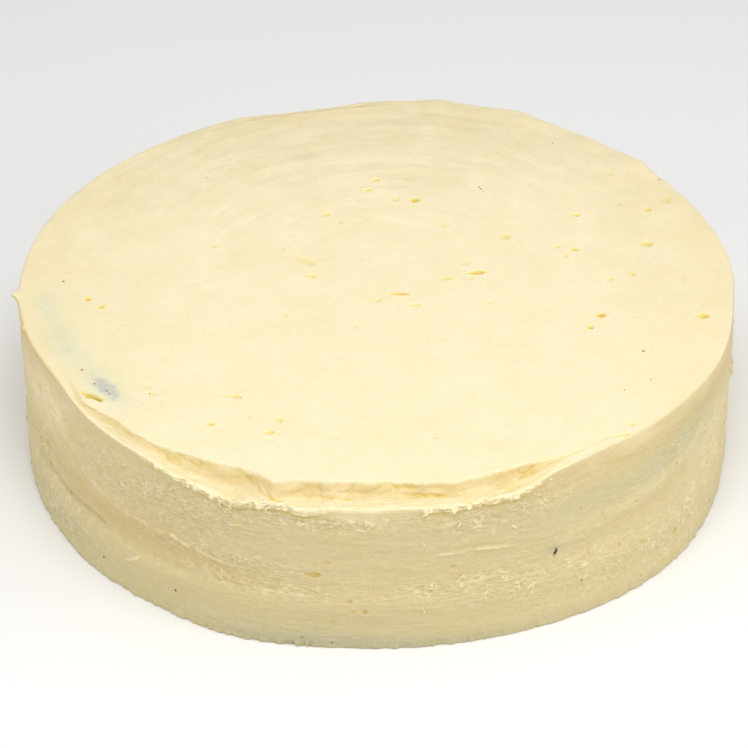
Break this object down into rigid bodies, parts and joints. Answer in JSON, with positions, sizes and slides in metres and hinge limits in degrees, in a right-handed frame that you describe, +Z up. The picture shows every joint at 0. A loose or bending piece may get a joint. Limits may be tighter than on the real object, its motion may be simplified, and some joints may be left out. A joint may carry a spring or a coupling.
{
  "type": "carrot cake",
  "caption": "Whole round carrot cake, uncut, spread all over with pale cream cheese frosting that is pressed into a ragged ledge at the front edge.",
  "frame": {"origin": "middle of the cake's flat underside, under the middle of its box", "axes": "+Z up out of the top of the cake, -Y towards the front, where the edge of the top has its ragged ledge, +X to the right seen from the front"},
  "size_m": [0.253, 0.2508, 0.0646],
  "materials": {
    "frosting": "soft matte cream cheese frosting, pale ivory yellow, spread with a knife"
  },
  "bodies": {
    "root": {"carrot_cake": "frosting"}
  },
  "joints": []
}
